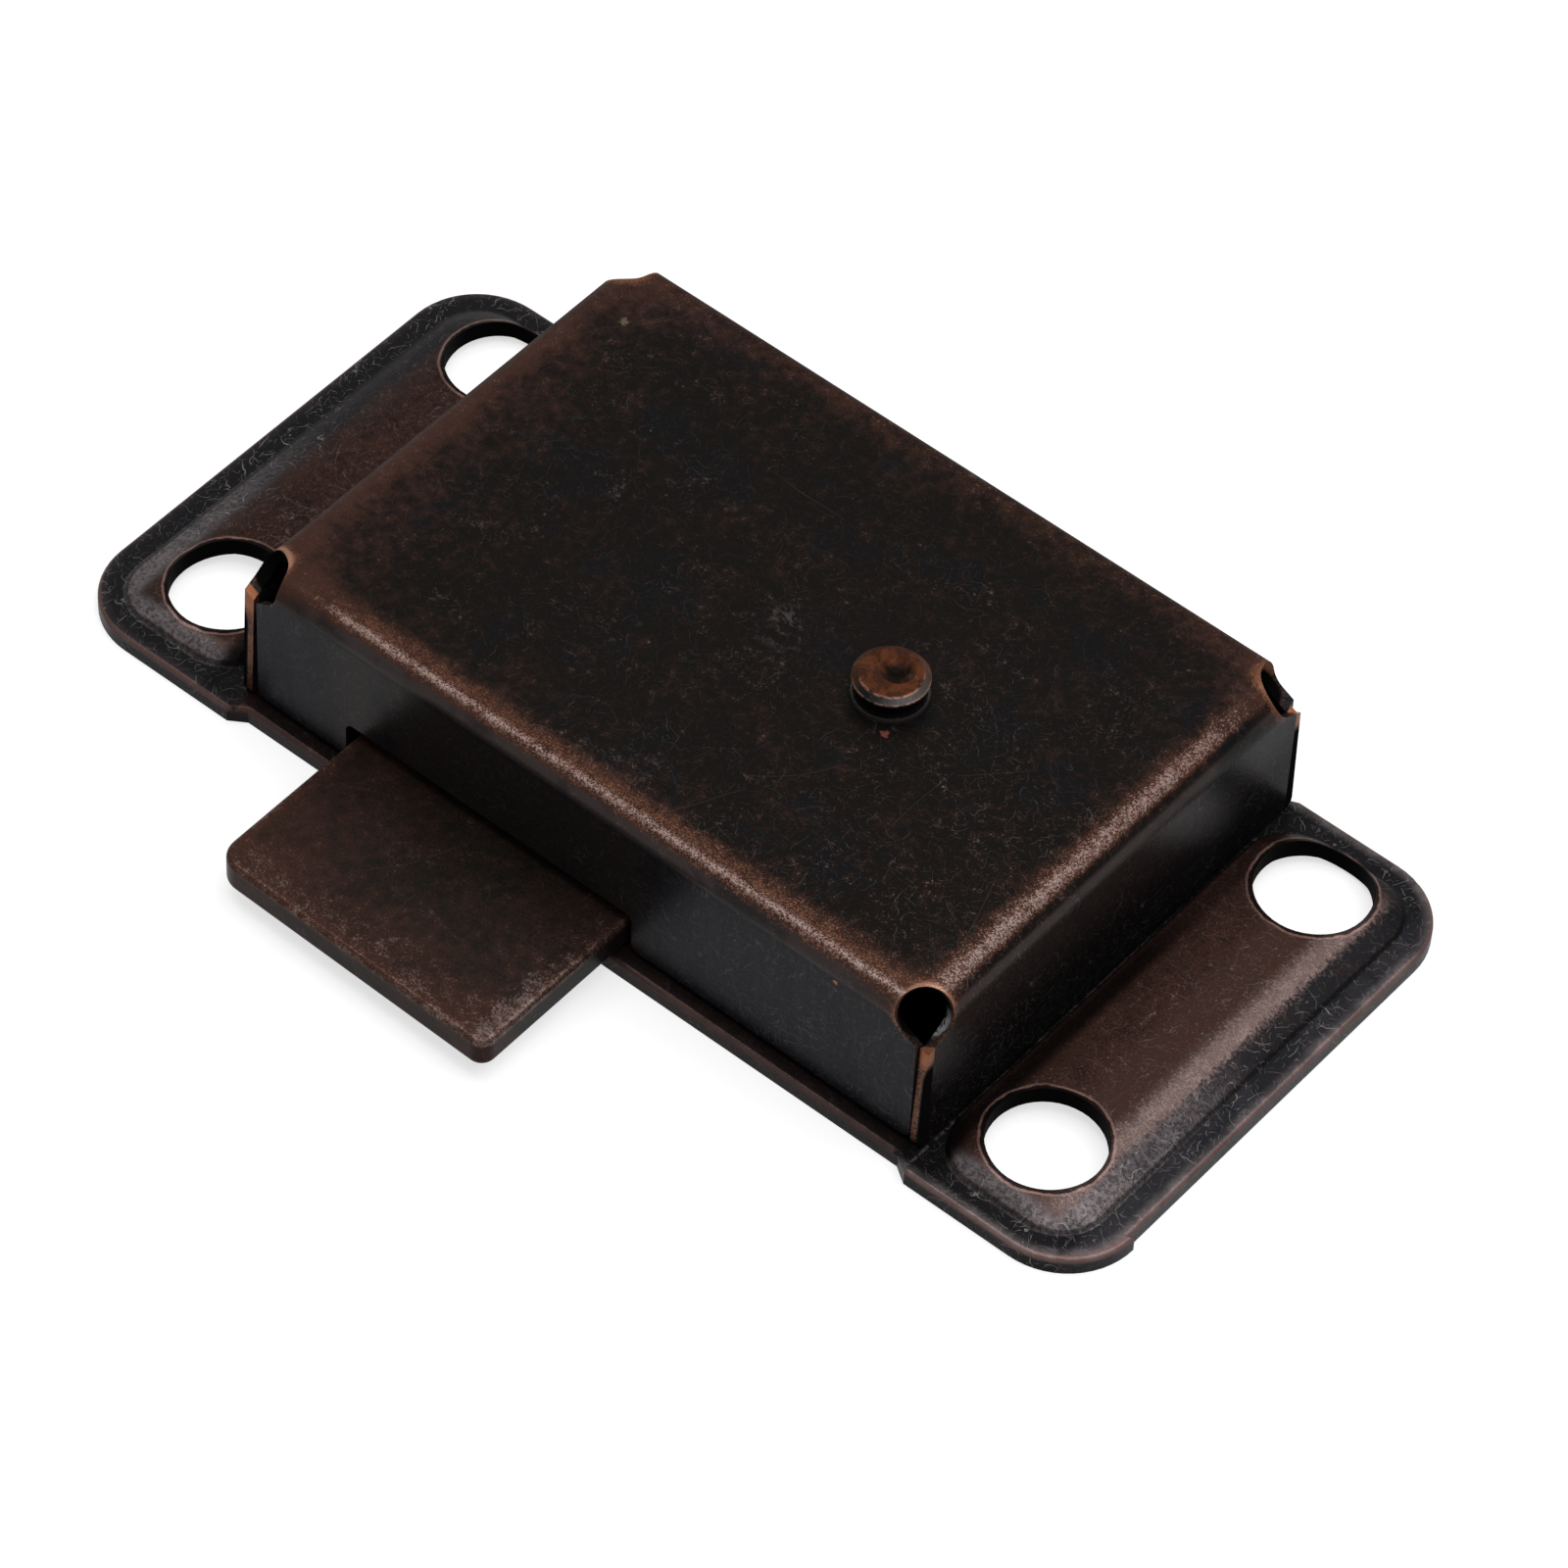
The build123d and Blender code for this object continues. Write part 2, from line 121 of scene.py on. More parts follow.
# Colours of the plate
RIM_PATINA = (0.0100, 0.0098, 0.0108, 1)
GREY_RIM = (0.0235, 0.0228, 0.0262, 1)
WORN_RIM = (0.145, 0.120, 0.120, 1)
EDGE_COPPER = (0.150, 0.082, 0.072, 1)
# Painted highlight on the right pad's crown and shoulder, where the lamp above reflects
PAD_PAINTED_HIGHLIGHT = (0.115, 0.077, 0.071, 1)
# Scratched pale grey, lit to a painted highlight on the near pad slopes and the rivet seat's edge
WORN_AND_LIT_GREY = (0.108, 0.092, 0.094, 1)
# Painted highlight round the rolled edge of the screw holes
HOLE_RIM_HIGHLIGHT = (0.26, 0.150, 0.130, 1)

# Colours of the bolt, the riveted head of the drill pin, and the hidden pieces
BOLT_PATINA = (0.0098, 0.0098, 0.0086, 1)
RIVET_COPPER = (0.078, 0.025, 0.0108, 1)
RIVET_SHADE = (0.034, 0.0135, 0.0080, 1)
# Shaded and lit copies of the rivet bevel's colour: painted shade on the left, painted highlight on the
# right
RIVET_BEVEL_SHADE = (0.0085, 0.0090, 0.0100, 1)
RIVET_BEVEL_LIT = (0.050, 0.044, 0.043, 1)
DARK_STEEL = (0.30, 0.285, 0.27, 1)
LIGHT_STEEL = (0.46, 0.45, 0.44, 1)
SCRATCHED_STEEL = (0.62, 0.61, 0.60, 1)

# A colour laid over a finish where the mask is 1
Mark = namedtuple("Mark", "colour mask strength", defaults=[1.0])

# Small spots where the finish of the case is chipped, in millimetres
Chip = namedtuple("Chip", "centre radius colour")
case_chips = (
    Chip((8.97, -2.08, case_high.z), 0.26, RED_CHIP),
    Chip((-18.21, 10.28, case_high.z), 0.30, BEIGE_CHIP),
    Chip((16.27, case_low.y, 9.07), 0.16, BRIGHT_COPPER),
)
smudge_centre = (1.07, 0.03, case_high.z)


class Wiring:
    """Adds nodes to one tree and joins them, so that a finish reads as a list of steps."""

    def __init__(self, tree):
        self.tree = tree

    def feed(self, socket, value):
        if isinstance(value, bpy.types.NodeSocket):
            self.tree.links.new(value, socket)
        else:
            socket.default_value = value

    def node(self, kind, **settings):
        made = self.tree.nodes.new(kind)
        for name, value in settings.items():
            setattr(made, name, value)
        return made

    def group(self, group, **values):
        made = self.node("ShaderNodeGroup", node_tree=group)
        for name, value in values.items():
            self.feed(made.inputs[name.replace("_", " ")], value)
        return made.outputs

    def place(self):
        """The place on the piece, in millimetres."""
        return self.scaled(self.node("ShaderNodeTexCoord").outputs["Object"], 1 / MM)

    def maths(self, operation, first, second=0.0):
        made = self.node("ShaderNodeMath", operation=operation)
        self.feed(made.inputs[0], first)
        self.feed(made.inputs[1], second)
        return made.outputs[0]

    def add(self, *values):
        total = values[0]
        for value in values[1:]:
            total = self.maths("ADD", total, value)
        return total

    def times(self, *values):
        product = values[0]
        for value in values[1:]:
            product = self.maths("MULTIPLY", product, value)
        return product

    def weighted(self, base, *parts):
        """The base, plus each mask times its weight. A part is one mask or more, then the weight."""
        return self.add(base, *(self.times(*part) for part in parts))

    def less(self, first, second):
        return self.maths("SUBTRACT", first, second)

    def without(self, mask):
        return self.less(1.0, mask)

    def away(self, value, centre):
        return self.maths("ABSOLUTE", self.less(value, centre))

    def smaller(self, first, second):
        return self.maths("MINIMUM", first, second)

    def larger(self, first, second):
        return self.maths("MAXIMUM", first, second)

    def vector(self, operation, first, second=(0, 0, 0)):
        made = self.node("ShaderNodeVectorMath", operation=operation)
        self.feed(made.inputs[0], first)
        self.feed(made.inputs[1], second)
        is_number = operation in ("LENGTH", "DOT_PRODUCT", "DISTANCE")
        return made.outputs["Value" if is_number else "Vector"]

    def scaled(self, vector, factor):
        made = self.node("ShaderNodeVectorMath", operation="SCALE")
        self.feed(made.inputs[0], vector)
        self.feed(made.inputs["Scale"], factor)
        return made.outputs["Vector"]

    def split(self, vector):
        made = self.node("ShaderNodeSeparateXYZ")
        self.feed(made.inputs[0], vector)
        return made.outputs

    def joined(self, x, y, z=0.0):
        made = self.node("ShaderNodeCombineXYZ")
        for axis, value in zip("XYZ", (x, y, z)):
            self.feed(made.inputs[axis], value)
        return made.outputs[0]

    def fade(self, value, none_at, full_at):
        """A mask: 0 where the value is at the first limit, 1 at the second, eased between them."""
        made = self.node("ShaderNodeMapRange", interpolation_type="SMOOTHSTEP")
        self.feed(made.inputs["Value"], value)
        self.feed(made.inputs["From Min"], none_at)
        self.feed(made.inputs["From Max"], full_at)
        return made.outputs["Result"]

    def noise(self, place, scale, detail, roughness=0.5, distortion=0.0):
        """Noise of 0 to 1. The scale is its number of swells to a unit of place."""
        made = self.node("ShaderNodeTexNoise")
        self.feed(made.inputs["Vector"], place)
        self.feed(made.inputs["Scale"], scale)
        self.feed(made.inputs["Detail"], detail)
        self.feed(made.inputs["Roughness"], roughness)
        self.feed(made.inputs["Distortion"], distortion)
        return made.outputs

    def unevenness(self, place, **noise):
        """Noise that swings about 0."""
        return self.less(self.noise(place, **noise)["Fac"], 0.5)

    def patches(self, place, none_at, full_at, **noise):
        """A mask of patches, where the noise passes from one level to another."""
        return self.fade(self.noise(place, **noise)["Fac"], none_at, full_at)

    def tint(self, colour, other, mask, strength=1.0):
        """The colour, turned into the other one where the mask is 1."""
        made = self.node("ShaderNodeMix", data_type="RGBA")
        self.feed(made.inputs[0], mask if strength == 1.0 else self.times(mask, strength))
        self.feed(made.inputs[6], colour)
        self.feed(made.inputs[7], other)
        return made.outputs[2]


NUMBER = "NodeSocketFloat"
VECTOR = "NodeSocketVector"
COLOUR = "NodeSocketColor"


def new_group(name, inputs, outputs):
    """A node group with named sockets, its wiring, and its inner input and output sockets."""
    group = bpy.data.node_groups.new(name, "ShaderNodeTree")
    for socket_name, kind in inputs:
        group.interface.new_socket(socket_name, in_out="INPUT", socket_type=kind)
    for socket_name, kind in outputs:
        group.interface.new_socket(socket_name, in_out="OUTPUT", socket_type=kind)
    wiring = Wiring(group)
    return group, wiring, wiring.node("NodeGroupInput").outputs, wiring.node("NodeGroupOutput").inputs


def make_hairlines():
    """Short scratches that lie every way, one to a cell, faint at their ends."""
    group, wiring, given, result = new_group(
        "hairline scratches",
        [("Place", VECTOR), ("Spacing", NUMBER), ("Width", NUMBER), ("Share", NUMBER), ("Curl", NUMBER)],
        [("Mask", NUMBER)],
    )
    grey = (0.5, 0.5, 0.5)
    cells = wiring.scaled(given["Place"], wiring.maths("DIVIDE", 1.0, given["Spacing"]))
    curl = wiring.vector("SUBTRACT", wiring.noise(cells, scale=0.9, detail=1.0)["Color"], grey)
    curled = wiring.vector("ADD", cells, wiring.scaled(curl, given["Curl"]))
    voronoi = wiring.node("ShaderNodeTexVoronoi")
    wiring.feed(voronoi.inputs["Vector"], curled)
    voronoi.inputs["Scale"].default_value = 1.0
    offset = wiring.vector("SUBTRACT", curled, voronoi.outputs["Position"])
    heading = wiring.vector("NORMALIZE", wiring.vector("SUBTRACT", voronoi.outputs["Color"], grey))
    across = wiring.maths("ABSOLUTE", wiring.vector("DOT_PRODUCT", offset, heading))
    line = wiring.fade(wiring.times(across, given["Spacing"]), given["Width"], 0.0)
    reach = wiring.fade(voronoi.outputs["Distance"], none_at=0.75, full_at=0.35)
    shuffle = (7.3, 13.1, 5.7)
    draw = wiring.maths("FRACT", wiring.vector("DOT_PRODUCT", voronoi.outputs["Color"], shuffle))
    chosen = wiring.maths("LESS_THAN", draw, given["Share"])
    wiring.feed(result["Mask"], wiring.times(line, reach, chosen))
    return group


def make_outline_gap():
    """How far a place lies inside a rectangle with round corners, seen in plan."""
    group, wiring, given, result = new_group(
        "outline gap",
        [("Place", VECTOR), ("Centre", VECTOR), ("Half size", VECTOR), ("Corner", NUMBER)],
        [("Gap", NUMBER)],
    )
    side = wiring.vector("ABSOLUTE", wiring.vector("SUBTRACT", given["Place"], given["Centre"]))
    past = wiring.split(wiring.vector("SUBTRACT", side, given["Half size"]))
    along = wiring.add(past["X"], given["Corner"])
    across = wiring.add(past["Y"], given["Corner"])
    corner = wiring.joined(wiring.larger(along, 0.0), wiring.larger(across, 0.0))
    outside = wiring.vector("LENGTH", corner)
    inside = wiring.smaller(wiring.larger(along, across), 0.0)
    wiring.feed(result["Gap"], wiring.less(wiring.less(given["Corner"], outside), inside))
    return group


def make_antique_copper():
    """Copper plate blackened, then rubbed back to brown and copper where it wears."""
    group, wiring, given, result = new_group(
        "antique copper",
        [
            ("Place", VECTOR), ("Ground", COLOUR), ("Brown", NUMBER), ("Patches", NUMBER),
            ("Wear", NUMBER), ("Crest", NUMBER), ("Grain", NUMBER), ("Scratches", NUMBER),
            ("Dull", NUMBER),
        ],
        [("Color", COLOUR), ("Roughness", NUMBER), ("Metallic", NUMBER), ("Height", NUMBER)],
    )
    place = given["Place"]
    plain_roughness = 0.31
    plain_metallic = 0.50
    middle_height = 0.5

    cloud = wiring.unevenness(place, scale=0.40, detail=3.0, roughness=0.65)
    mottle = wiring.unevenness(place, scale=1.6, detail=4.0, roughness=0.7, distortion=0.3)
    speckle = wiring.unevenness(place, scale=6.5, detail=2.0, roughness=0.65)
    pepper = wiring.unevenness(place, scale=12.0, detail=1.0, roughness=0.6)
    grain = wiring.times(given["Grain"], wiring.weighted(pepper, (speckle, 0.7)))
    uneven = wiring.times(given["Patches"], wiring.add(wiring.times(cloud, 0.7), wiring.times(mottle, 1.1)))

    ink = wiring.patches(
        place, none_at=0.52, full_at=0.68, scale=0.27, detail=2.0, roughness=0.6, distortion=0.5
    )
    flecks = wiring.patches(
        place, none_at=0.70, full_at=0.76, scale=3.1, detail=2.0, roughness=0.6, distortion=0.8
    )
    haze = wiring.patches(
        place, none_at=0.42, full_at=0.72, scale=0.33, detail=3.0, roughness=0.7, distortion=0.5
    )
    brown = wiring.weighted(wiring.add(given["Brown"], uneven), (grain, 0.8))
    worn = wiring.weighted(given["Wear"], (mottle, 0.9), (grain, 1.8))
    # The crest stands for rubbed copper and for a painted highlight together
    crest = wiring.weighted(given["Crest"], (mottle, 1.3), (grain, 2.0))
    specks = wiring.weighted(wiring.add(mottle, speckle), (haze, 0.14))
    brown = wiring.fade(brown, none_at=0.15, full_at=1.15)
    worn = wiring.fade(worn, none_at=0.30, full_at=1.0)
    crest = wiring.fade(crest, none_at=0.35, full_at=1.0)
    specks = wiring.fade(specks, none_at=0.22, full_at=0.48)

    fine = wiring.group(hairlines, Place=place, Spacing=0.36, Width=0.018, Share=0.9, Curl=1.1)["Mask"]
    short = wiring.group(hairlines, Place=place, Spacing=0.85, Width=0.024, Share=0.85, Curl=1.0)["Mask"]
    long = wiring.group(hairlines, Place=place, Spacing=6.5, Width=0.038, Share=0.4, Curl=0.3)["Mask"]
    dense = wiring.larger(wiring.times(fine, 0.75), short)
    dense = wiring.times(dense, given["Scratches"], wiring.weighted(0.5, (haze, 0.8)))
    scratched = wiring.larger(dense, wiring.times(long, 0.07))

    colour = wiring.tint(given["Ground"], INKY_PATINA, ink, strength=0.5)
    colour = wiring.tint(colour, BROWN_PATINA, brown)
    colour = wiring.tint(colour, WORN_COPPER, worn)
    colour = wiring.tint(colour, RUBBED_AND_LIT_COPPER, crest)
    colour = wiring.tint(colour, RED_FLECK, flecks, strength=0.6)
    colour = wiring.tint(colour, PALE_SCRATCH, specks, strength=0.22)
    colour = wiring.tint(colour, PALE_SCRATCH, scratched)
    roughness = wiring.weighted(plain_roughness, (pepper, 0.25), (speckle, 0.20))
    metallic = wiring.weighted(plain_metallic, (worn, 0.2), (crest, 0.2))
    wiring.feed(result["Color"], colour)
    wiring.feed(result["Roughness"], roughness)
    wiring.feed(result["Metallic"], wiring.times(metallic, wiring.without(given["Dull"])))
    wiring.feed(result["Height"], wiring.weighted(wiring.add(middle_height, pepper), (speckle, 0.6)))
    return group


hairlines = make_hairlines()
outline_gap = make_outline_gap()
antique_copper = make_antique_copper()


def new_finish(name):
    """A material with one Principled shader, and the wiring of its nodes."""
    material = bpy.data.materials.new(name)
    material.use_nodes = True
    wiring = Wiring(material.node_tree)
    material.node_tree.nodes.clear()
    output = wiring.node("ShaderNodeOutputMaterial")
    shader = wiring.node("ShaderNodeBsdfPrincipled")
    wiring.feed(output.inputs["Surface"], shader.outputs["BSDF"])
    return material, wiring, shader


def wire_bump(wiring, shader, height, depth):
    bump = wiring.node("ShaderNodeBump")
    bump.inputs["Strength"].default_value = 1.0
    bump.inputs["Distance"].default_value = depth * MM
    wiring.feed(bump.inputs["Height"], height)
    wiring.feed(shader.inputs["Normal"], bump.outputs["Normal"])


def wire_copper(wiring, shader, place, marks=(), **look):
    """Joins the antique copper to a shader, with colour marks laid over it in turn."""
    copper = wiring.group(antique_copper, Place=place, **look)
    colour = copper["Color"]
    for mark in marks:
        colour = wiring.tint(colour, mark.colour, mark.mask, mark.strength)
    wiring.feed(shader.inputs["Base Color"], colour)
    wiring.feed(shader.inputs["Roughness"], copper["Roughness"])
    wiring.feed(shader.inputs["Metallic"], copper["Metallic"])
    shader.inputs["Specular IOR Level"].default_value = 0.0
    wire_bump(wiring, shader, copper["Height"], copper_bump)


def chip_mark(wiring, place, chip):
    """A small ragged spot where the finish is chipped."""
    ragged = wiring.unevenness(place, scale=4.0, detail=2.0, roughness=0.7)
    distance = wiring.vector("DISTANCE", place, chip.centre)
    distance = wiring.weighted(distance, (ragged, chip.radius * 2.0))
    mask = wiring.fade(distance, none_at=chip.radius, full_at=chip.radius * 0.6)
    return Mark(chip.colour, mask, strength=0.8)


def smudge_mark(wiring, place):
    """A pale smear on the case top, broken up like a stain."""
    stretched = wiring.vector("MULTIPLY", place, (1.0, 1.4, 1.0))
    broken = wiring.patches(
        stretched, none_at=0.48, full_at=0.60, scale=0.9, detail=3.0, roughness=0.7, distortion=1.2
    )
    near = wiring.fade(wiring.vector("DISTANCE", place, smudge_centre), none_at=1.9, full_at=0.4)
    return Mark(PALE_SMUDGE, wiring.times(near, broken), strength=0.24)


def case_distances(wiring, place):
    """Distances on the case, in from its walls, down from its top and across its bends.

    A fold is 0 in the middle of a bend, above 0 on the top and below 0 on the wall.
    """
    middle = (case_low + case_high) / 2
    half = (case_high - case_low) / 2
    spot = wiring.split(place)
    side = wiring.split(wiring.vector("ABSOLUTE", wiring.vector("SUBTRACT", place, tuple(middle))))
    end_gap = wiring.less(half.x, side["X"])
    wall_gap = wiring.less(half.y, side["Y"])
    depth = wiring.less(case_high.z, spot["Z"])
    long_fold = wiring.less(wall_gap, depth)
    end_fold = wiring.less(end_gap, depth)
    return SimpleNamespace(
        x=spot["X"],
        y=spot["Y"],
        end_gap=end_gap,
        wall_gap=wall_gap,
        corner_gap=wiring.larger(end_gap, wall_gap),
        depth=depth,
        long_fold=long_fold,
        end_fold=end_fold,
        fold=wiring.smaller(long_fold, end_fold),
    )


def relief_masks(wiring, place, at):
    """The rubbed lips round the corner reliefs, brighter on the near lips' upper part as a painted
    highlight, and the cut sheet inside them, laid black as painted shade but for bare steel on the near
    relief's lit lower flank.
    """
    corner = wiring.joined(at.end_gap, at.wall_gap, at.depth)
    diagonal = tuple(Vector((1, 1, 1)).normalized())
    inward = wiring.scaled(diagonal, wiring.vector("DOT_PRODUCT", corner, diagonal))
    past_rim = wiring.less(wiring.vector("DISTANCE", corner, inward), relief_radius)

    lip_strength = wiring.weighted(0.36, (wiring.fade(at.depth, none_at=2.2, full_at=0.6), 0.5))
    lip = wiring.times(wiring.fade(past_rim, none_at=0.65, full_at=0.1), lip_strength)
    # Brighter copper on the upper near lips: partly worn copper, partly painted highlight
    worn_lip_highlight = wiring.times(
        wiring.fade(past_rim, none_at=0.26, full_at=0.10),
        wiring.fade(at.depth, none_at=1.2, full_at=0.2),
        wiring.fade(at.y, none_at=20.0, full_at=-10.0),
    )
    # Painted shade: the cut sheet inside the reliefs is laid black; bare steel shows only on the near
    # relief's lit lower flank
    inside = wiring.fade(past_rim, none_at=0.04, full_at=-0.06)
    bare_steel = wiring.times(
        inside,
        wiring.fade(at.depth, none_at=1.0, full_at=1.7),
        wiring.fade(at.x, none_at=0.0, full_at=5.0),
        wiring.fade(at.y, none_at=0.0, full_at=-5.0),
        wiring.fade(wiring.less(at.wall_gap, at.end_gap), none_at=0.0, full_at=0.8),
        wiring.patches(place, none_at=0.36, full_at=0.56, scale=3.5, detail=2.0, roughness=0.7),
    )
    glow = wiring.fade(past_rim, none_at=2.4, full_at=0.0)
    return SimpleNamespace(lip=lip, worn_lip_highlight=worn_lip_highlight, inside=inside, bare_steel=bare_steel, glow=glow)


def cut_edge_masks(wiring, at):
    """The end walls' cut edges below the reliefs: rubbed, brighter near the top, with painted shade on
    their outer side.
    """
    edge = wiring.fade(at.corner_gap, none_at=0.68, full_at=0.55)
    below_relief = wiring.times(edge, wiring.fade(at.depth, none_at=1.5, full_at=2.3))
    taper = wiring.fade(at.depth, none_at=4.8, full_at=2.6)
    inner = wiring.fade(wiring.weighted(at.end_gap, (taper, 0.32)), none_at=0.14, full_at=0.30)
    rubbed = wiring.times(below_relief, inner)
    bright = wiring.times(rubbed, edge, wiring.fade(at.depth, none_at=4.0, full_at=3.2))
    # Painted shade on the outer side of the cut edge
    dark = wiring.times(below_relief, wiring.without(inner))
    return SimpleNamespace(rubbed=rubbed, bright=bright, dark=dark)


def bend_masks(wiring, at):
    """Where the bends of the case are rubbed brown, copper and grey. The crest bands are partly rubbing and
    partly a painted highlight, and the far and left bends are held darker as painted shade.
    """
    long_crest = wiring.times(
        wiring.fade(at.long_fold, none_at=1.20, full_at=0.80),
        wiring.fade(at.long_fold, none_at=0.05, full_at=0.45),
        wiring.fade(at.depth, none_at=0.55, full_at=0.35),
    )
    end_crest = wiring.times(
        wiring.fade(at.end_fold, none_at=2.00, full_at=1.05),
        wiring.fade(at.end_fold, none_at=0.15, full_at=0.65),
        wiring.fade(at.depth, none_at=0.80, full_at=0.5),
    )
    beside = wiring.times(
        wiring.fade(at.fold, none_at=2.7, full_at=0.95),
        wiring.smaller(
            wiring.fade(at.long_fold, none_at=-0.55, full_at=0.35),
            wiring.fade(at.end_fold, none_at=0.0, full_at=0.5),
        ),
    )
    wide = wiring.times(
        wiring.fade(at.fold, none_at=6.0, full_at=1.0),
        wiring.fade(at.fold, none_at=-1.6, full_at=-0.6),
    )
    grey_long = wiring.times(
        wiring.fade(at.long_fold, none_at=0.35, full_at=-0.15),
        wiring.fade(at.long_fold, none_at=-1.3, full_at=-1.0),
    )
    grey_end = wiring.times(
        wiring.fade(at.end_fold, none_at=-0.25, full_at=-0.65),
        wiring.fade(at.end_fold, none_at=-1.6, full_at=-0.9),
    )
    on_end = wiring.fade(wiring.less(at.end_gap, at.wall_gap), none_at=0.0, full_at=-0.5)
    grey = wiring.larger(wiring.times(grey_long, wiring.without(on_end)), wiring.times(grey_end, on_end))
    # The far and left bends are held darker: painted shade
    far = wiring.fade(at.y, none_at=7.0, full_at=12.5)
    left = wiring.fade(at.x, none_at=-14.0, full_at=-19.0)
    return SimpleNamespace(
        long_crest=long_crest, end_crest=end_crest, beside=beside, wide=wide, grey=grey,
        far=far, left=left, painted_shade_bends=wiring.larger(far, left),
    )


def case_wall_ground(wiring, place, at, wall, end_wall, foot):
    """Blue-black walls with upright streaks, brown-black at the end and darker towards its foot, with a
    painted reflection of the bolt on the front wall above it.
    """
    bolt_middle = (bolt_low.x + bolt_high.x) / 2
    bolt_half = (bolt_high.x - bolt_low.x) / 2
    streaks = wiring.patches(
        wiring.vector("MULTIPLY", place, (2.2, 2.2, 0.22)),
        none_at=0.40, full_at=0.62, scale=1.0, detail=3.0, roughness=0.7, distortion=0.4,
    )
    near_or_low = wiring.larger(
        wiring.fade(at.y, none_at=10.0, full_at=4.0),
        wiring.fade(at.depth, none_at=2.2, full_at=4.2),
    )
    # Painted reflection of the bolt on the front wall just above it
    bolt_reflection = wiring.times(
        wall,
        wiring.fade(wiring.away(at.x, bolt_middle), none_at=bolt_half + 2.5, full_at=bolt_half),
        wiring.fade(at.wall_gap, none_at=0.3, full_at=0.1),
        wiring.fade(at.y, none_at=0.0, full_at=-2.0),
    )
    ground = wiring.tint(BLACK_PATINA, wiring.tint(BLUE_PATINA, STREAK_PATINA, streaks), wall)
    # Darker towards the foot of the end walls
    end_ground = wiring.tint(END_PATINA, DARK_FOOT_AND_SHADE, foot)
    ground = wiring.tint(ground, end_ground, wiring.times(end_wall, near_or_low))
    return wiring.tint(ground, PAINTED_BOLT_REFLECTION, bolt_reflection)


def case_finish():
    """Near black, brown to copper along the bends, coppery lips at the corner reliefs, with painted
    highlights on the bend crests and near lips, painted shade inside the reliefs, on the cut edges and on
    the far and left bends, and a painted reflection of the bolt on the front wall.
    """
    material, wiring, shader = new_finish("case finish")
    place = wiring.place()
    at = case_distances(wiring, place)
    relief = relief_masks(wiring, place, at)
    edge = cut_edge_masks(wiring, at)
    bend = bend_masks(wiring, at)
    wall = wiring.fade(at.fold, none_at=-0.9, full_at=-1.7)
    end_wall = wiring.times(
        wall,
        wiring.fade(at.end_gap, none_at=1.0, full_at=0.2),
        wiring.fade(at.wall_gap, none_at=0.0, full_at=0.7),
    )
    foot = wiring.fade(at.depth, none_at=1.5, full_at=6.2)
    left_haze = wiring.times(
        wiring.fade(at.x, none_at=case_low.x + 9, full_at=case_low.x + 0.5), wiring.without(wall)
    )
    near_end = wiring.fade(at.y, none_at=0.0, full_at=case_low.y)
    near_corner = wiring.fade(wiring.less(at.x, at.y), none_at=0.0, full_at=34.0)

    ground = case_wall_ground(wiring, place, at, wall, end_wall, foot)
    ground = wiring.tint(ground, GREY_BEND, bend.grey)
    brown = wiring.weighted(
        0.20,
        (bend.beside, 0.75),
        # Less brown on the far and left bends: painted shade
        (bend.beside, bend.far, -0.42),
        (bend.beside, bend.left, -0.24),
        (bend.wide, 0.08),
        (left_haze, 0.30),
        (bend.grey, -0.15),
        (wall, -0.30),
        (relief.glow, 0.35),
    )
    # Wear held back on the far and left bends: painted shade
    wear = wiring.times(bend.beside, wiring.weighted(0.55, (bend.painted_shade_bends, -0.42)))
    wear = wiring.larger(wear, wiring.larger(relief.lip, wiring.times(edge.rubbed, 0.76)))
    # Crests: partly rubbed copper, partly painted highlight, held back on the far and left bends as painted
    # shade
    crest = wiring.larger(wiring.times(bend.long_crest, 0.64), wiring.times(bend.end_crest, 0.62))
    crest = wiring.times(crest, wiring.weighted(1.0, (bend.painted_shade_bends, -0.9)))
    dull_bend = wiring.times(
        bend.painted_shade_bends,
        wiring.fade(at.fold, none_at=1.6, full_at=0.8),
        wiring.fade(at.fold, none_at=-1.4, full_at=-0.9),
        0.75,
    )
    dull = wiring.times(end_wall, wiring.weighted(0.25, (foot, 0.25), (near_end, 0.25)))
    dull = wiring.larger(wiring.larger(dull, dull_bend), wiring.larger(relief.inside, edge.dark))
    marks = [
        # Painted highlight on the worn near lips
        Mark(PINK_COPPER_HIGHLIGHT, relief.worn_lip_highlight, strength=0.60),
        Mark(BRIGHT_COPPER, edge.bright, strength=0.6),
        *(chip_mark(wiring, place, chip) for chip in case_chips),
        smudge_mark(wiring, place),
        # Painted shade on the outer side of the cut edges
        Mark(DARK_FOOT_AND_SHADE, edge.dark),
        # Painted shade inside the reliefs
        Mark(PAINTED_SHADE_BLACK, relief.inside),
        Mark(CUT_STEEL, relief.bare_steel, strength=0.9),
    ]
    wire_copper(
        wiring, shader, place, marks,
        Ground=ground,
        Brown=brown,
        Patches=1.0,
        Wear=wear,
        Crest=crest,
        Grain=wiring.weighted(0.42, (bend.beside, 0.38), (near_corner, 0.55)),
        Scratches=wiring.weighted(0.10, (near_corner, 0.16), (wall, 0.10)),
        Dull=dull,
    )
    return material


